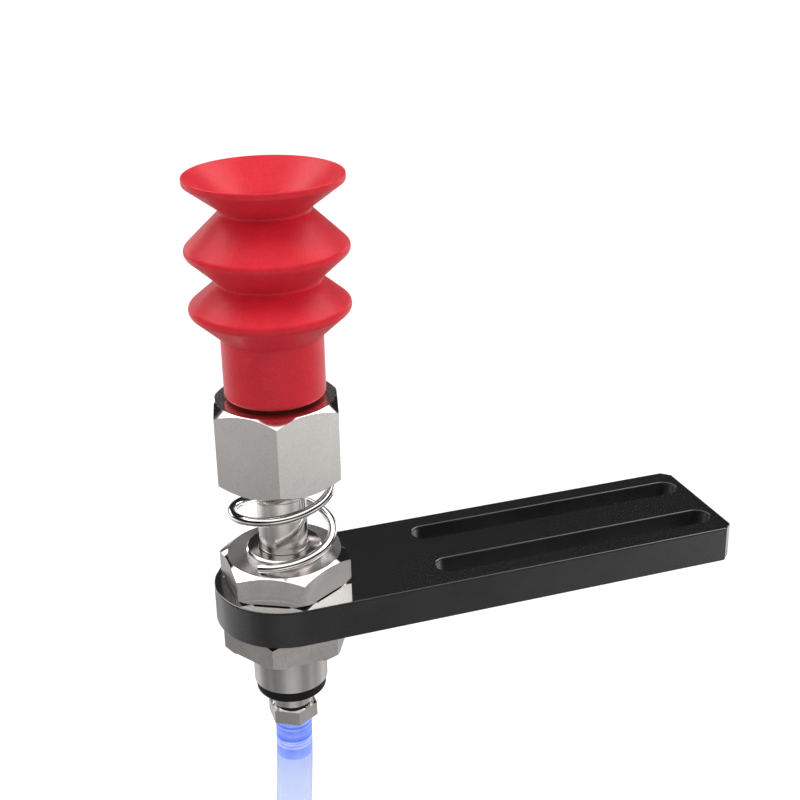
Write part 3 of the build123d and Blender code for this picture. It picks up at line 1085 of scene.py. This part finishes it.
paint(brass, nodes["cup_nipple"])
paint(bronze, nodes["upper_liner"], nodes["lower_liner"])
print("one brass nipple, two bronze liners")

# %% [markdown]
# ## Clear blue hose
# The hose is tinted all through. Its colour also carries painted shade: deeper at its two edges and
# near its fittings, and paler below them, where the pale background shines through. A volume would
# give the tint too, but slowly and with noise, so the surface carries it. The wall of the bore is a
# finish of its own, because the tint is in the outer skin here and must not be counted twice.

# %% Tint the hose
PALE_FROM, PALE_TO = 6.5 * MM, 16.0 * MM
clear = Finish("clear_blue", Transmission_Weight=1.0, IOR=1.04)
inner_wall = Finish("clear_blue_bore", Transmission_Weight=1.0, IOR=1.04)
streak = clear.streaks((2500.0, 2500.0, 60.0))
below_top = clear.axis("Z") * -1.0 + hose_top.z
drop = clear.math("MINIMUM", below_top, hose_top.z - hose_end.z - below_top)
# painted paleness away from the fittings, mixed with random streaks
painted_pale_and_streak = drop.between(PALE_FROM, PALE_TO) * 0.85 + streak * 0.15
# painted shade: the hose's colour is deeper where it is seen edge-on
edge_shade_share = clear.node("ShaderNodeLayerWeight", None, {"Blend": 0.5}, "Facing").between(0.6, 0.85)
tint = clear.blend(painted_pale_and_streak, rgb(0.33, 0.42, 0.79), rgb(0.56, 0.63, 0.84))
edge_painted_shade = clear.blend(painted_pale_and_streak, rgb(0.26, 0.33, 0.62), rgb(0.44, 0.51, 0.72))
clear.drive("Base Color", clear.blend(edge_shade_share, tint, edge_painted_shade))
clear.drive("Roughness", 0.05 + streak * 0.06)
wet_streak = inner_wall.streaks((1500.0, 1500.0, 40.0))
inner_wall.colour(wet_streak, (0.95, 0.96, 1.0), (0.99, 0.99, 1.0))
inner_wall.drive("Roughness", 0.03 + wet_streak * 0.05)
print("the hose pales from", PALE_FROM / MM, "to", PALE_TO / MM, "mm past each end")

# %% [markdown]
# Over the barb the hose sits tight on the metal, and each tooth presses a dark ring. The pale rings
# beside them are painted highlights, and this tight part also glows a little, which is painted light
# too. A ramp along the barb says how pale each height is, and a noise smears the rings as real
# contact does.

# %% Press the rings
TIGHT = 0.78
BARB_FADE = 0.05
# dark contact rings and pale painted highlight rings, by depth along the barb
RING_HIGHLIGHT_LEVELS = [(depth / BARB_LENGTH, (pale, pale, pale)) for depth, pale in (
    (0.0, 0.20), (0.6, 0.35), (1.1, 0.30), (1.25, 0.0), (1.5, 0.0), (1.75, 0.42), (2.1, 0.10),
    (3.0, 0.22), (3.75, 0.05), (4.15, 0.0), (4.35, 0.55), (4.6, 0.26), (4.85, 0.65),
    (5.15, 0.18), (5.5, 0.50), (5.85, 0.10), (7.8, 0.16),
)]
smear = clear.streaks((420.0, 420.0, 1100.0), 3.0, 0.6)
contact_and_highlight = clear.node("ShaderNodeValToRGB", {"stops": RING_HIGHLIGHT_LEVELS},
                     {0: drop * (1 / (BARB_LENGTH * MM))}, "Color")
# the hose's blue over the barb, lifted to pale by the painted highlight rings
ring_blue_and_highlight = clear.blend(
    contact_and_highlight * smear.between(0.1, 0.6), rgb(0.075, 0.15, 0.74), rgb(0.76, 0.84, 0.90))
on_barb = 1 - drop.between((BARB_LENGTH - BARB_FADE) * MM, (BARB_LENGTH + BARB_FADE) * MM)
# the tight part glows with the ring colour: painted light, not a lamp
tight_glowing = clear.second(on_barb * TIGHT, Roughness=0.25, Emission_Strength=0.5)
clear.drive("Base Color", ring_blue_and_highlight, tight_glowing)
clear.drive("Emission Color", ring_blue_and_highlight, tight_glowing)
paint(clear, hose, marked=inner_wall)
print("the rings reach", BARB_LENGTH, "mm down the hose")

# %% [markdown]
# ## The set
# In the photograph the product hangs before pure white. So a plain floor lies just below the
# hose's end, far enough down for the plunger to sink. It glows as much as it takes to look white
# to the camera, and still keeps the object's soft shadow.

# %% Lay the floor
FLOOR_DROP = 0.0125
FLOOR_SIZE = 8.0
FLOOR_GLOW = 0.24
floor_mesh = bpy.data.meshes.new("floor")
floor_height = cad_bounds[0][2] - FLOOR_DROP
floor_corners = [
    (x * FLOOR_SIZE / 2, y * FLOOR_SIZE / 2, floor_height)
    for x, y in ((-1, -1), (1, -1), (1, 1), (-1, 1))
]
floor_mesh.from_pydata(floor_corners, [], [(0, 1, 2, 3)])
floor = placed("floor", floor_mesh)
floor.visible_glossy = False
white = Finish("white_floor", Roughness=0.9, Emission_Strength=1.0)
white.drive("Base Color", rgb(0.70, 0.70, 0.70))
white.drive("Emission Color", white.blend(
    (white.ray("Camera") + white.ray("Transmission")).clamped(),
    rgb(0, 0, 0), rgb(FLOOR_GLOW, FLOOR_GLOW, FLOOR_GLOW)))
paint(white, floor)
print("floor lies", round(-floor_height / MM), "mm below the arm")

# %% [markdown]
# Three broad suns stand for a softbox overhead and one on each side. A sun's light is even over
# the object, and its angle sets how soft the shadows are. Reflections don't see the suns, because
# what metal mirrors is shaped in the sky below.

# %% Light the set
def cosine_and_sine(degrees):
    return math.cos(math.radians(degrees)), math.sin(math.radians(degrees))


def lamp(name, azimuth, height, strength, spread):
    """A broad soft light, far away in a direction given in degrees."""
    light = bpy.data.lights.new(name, "SUN")
    light.energy = strength
    light.angle = math.radians(spread)
    stand = placed(name, light)
    east, north = cosine_and_sine(azimuth)
    across, up = cosine_and_sine(height)
    source = Vector((across * east, across * north, up))
    stand.rotation_euler = (-source).to_track_quat("-Z", "Y").to_euler()
    stand.visible_glossy = False
    print(name, "light from", azimuth, "degrees round and", height, "up")


lamp("top", -19, 80, 1.7, 35)
lamp("left", -94, 30, 1.2, 30)
lamp("right", 56, 30, 1.7, 30)

# %% [markdown]
# Metal shows what stands around it, so the sky is a studio that only reflections see. It is fixed
# to the row frame, so it stays in place when the camera moves. Its brightness is a curve by
# degrees round times a curve by degrees up, as flags and screens would give it.

# %% Draw the room
ROOM_LIGHT = 2.5
FRONT_AZIMUTH = -18.9
AROUND = [((bearing_degrees + 180) / 360, brightness) for bearing_degrees, brightness in (
    (-180, 0.60), (-150, 0.55), (-130, 0.66), (-116, 0.60), (-98, 0.36), (-80, 0.24),
    (-64, 0.29), (-50, 0.22), (-37, 0.26), (-24, 0.32), (-8, 0.50), (10, 0.56), (27, 0.46),
    (42, 0.32), (56, 0.32), (72, 0.46), (86, 0.38), (104, 0.48), (126, 0.70), (154, 0.50),
    (180, 0.60),
)]
UPRIGHT = [((math.sin(math.radians(height)) + 1) / 2, brightness) for height, brightness in (
    (-90, 0.08), (-48, 0.14), (-38, 0.44), (-34, 0.42), (-31, 0.13), (-29, 0.23), (-26, 1.0),
    (-19, 1.0), (-8, 0.40), (0, 0.05), (8, 0.015), (90, 0.010),
)]
world = bpy.data.worlds.new("studio")
bpy.context.scene.world = world
world.use_nodes = True
sky = Graph(world.node_tree)
direction = sky.node("ShaderNodeTexCoord", output="Generated")
tall = sky.axis("Z", direction)


def toward(azimuth):
    """How far a direction points toward an azimuth, given in degrees."""
    inputs = {0: direction, 1: (*cosine_and_sine(azimuth), 0)}
    return sky.node("ShaderNodeVectorMath", {"operation": "DOT_PRODUCT"}, inputs, "Value")


front = toward(FRONT_AZIMUTH)
right = toward(FRONT_AZIMUTH + 90)
bearing = right.math("ARCTAN2", right, front) * (0.5 / math.pi) + 0.5


def table(position, stops):
    """A smooth curve through brightness values, for a position from zero to one."""
    greys = [(where, (value, value, value)) for where, value in stops]
    return sky.node("ShaderNodeValToRGB", {"stops": greys}, {0: position}, "Color")


around = table(bearing, AROUND)
upright = table(tall * 0.5 + 0.5, UPRIGHT)
room = around * upright * ROOM_LIGHT
print("the room has", len(AROUND), "screens round and", len(UPRIGHT), "up")

# %% [markdown]
# The large softbox hangs overhead and comes lower in front and at the sides. Two small ones stand
# low behind the object and two high ones beside it, and their haze lifts the silicone's edges.
# They leave out the heights that the arm's top mirrors most often, so that it stays black. Below,
# aside is a share of a full turn away from the front, and tall is the sine of the height.

# %% Hang the softboxes
SOFTBOX_LIGHT, LOW_LIGHT, HIGH_LIGHT = 1.5, 4.6, 4.0
aside = abs(bearing - 0.5)
low_front = 1 - aside.between(0.10, 0.16)
low_side = aside.between(0.20, 0.25) * (1 - aside.between(0.31, 0.36))
low_part = tall.between(0.42, 0.62) * (low_front + low_side)
softbox = low_part.math("MAXIMUM", low_part, tall.between(0.54, 0.66))
softbox = softbox * (tall + front * 0.5).between(0.12, 0.26)
low_box = aside.between(0.33, 0.37) * (1 - aside.between(0.41, 0.44))
low_box = low_box * tall.between(0.02, 0.08) * (1 - tall.between(0.13, 0.21))
high_box = aside.between(0.20, 0.26) * (1 - aside.between(0.40, 0.44))
high_box = high_box * tall.between(0.54, 0.62) * (1 - tall.between(0.82, 0.92))
studio = room + softbox * SOFTBOX_LIGHT + low_box * LOW_LIGHT + high_box * HIGH_LIGHT
print("the sky has", len(sky.tree.nodes), "nodes")

# %% [markdown]
# The sky answers each kind of ray in its own way: the camera and the clear hose see plain white,
# polished metal sees the studio, and every other surface gets an even fill light.

# %% Send the sky to its rays
FILL_LIGHT = 0.34
background = sky.tree.nodes["Background"]
open_air = (sky.ray("Camera") + sky.ray("Transmission")).clamped()
to_gloss = sky.ray("Glossy")
ambient = FILL_LIGHT * (1 - to_gloss) + studio * to_gloss
sky.join(background.inputs["Strength"], open_air + ambient * (1 - open_air))
background.inputs["Color"].default_value = rgb(1, 1, 1)
bpy.context.scene.view_settings.view_transform = "Standard"
print("fill light", FILL_LIGHT, "of white")

# %% [markdown]
# ## The count
# The last cell counts the frame's nodes.

# %% Count the nodes
print("sizes written for", len(frame["nodes"]), "nodes")
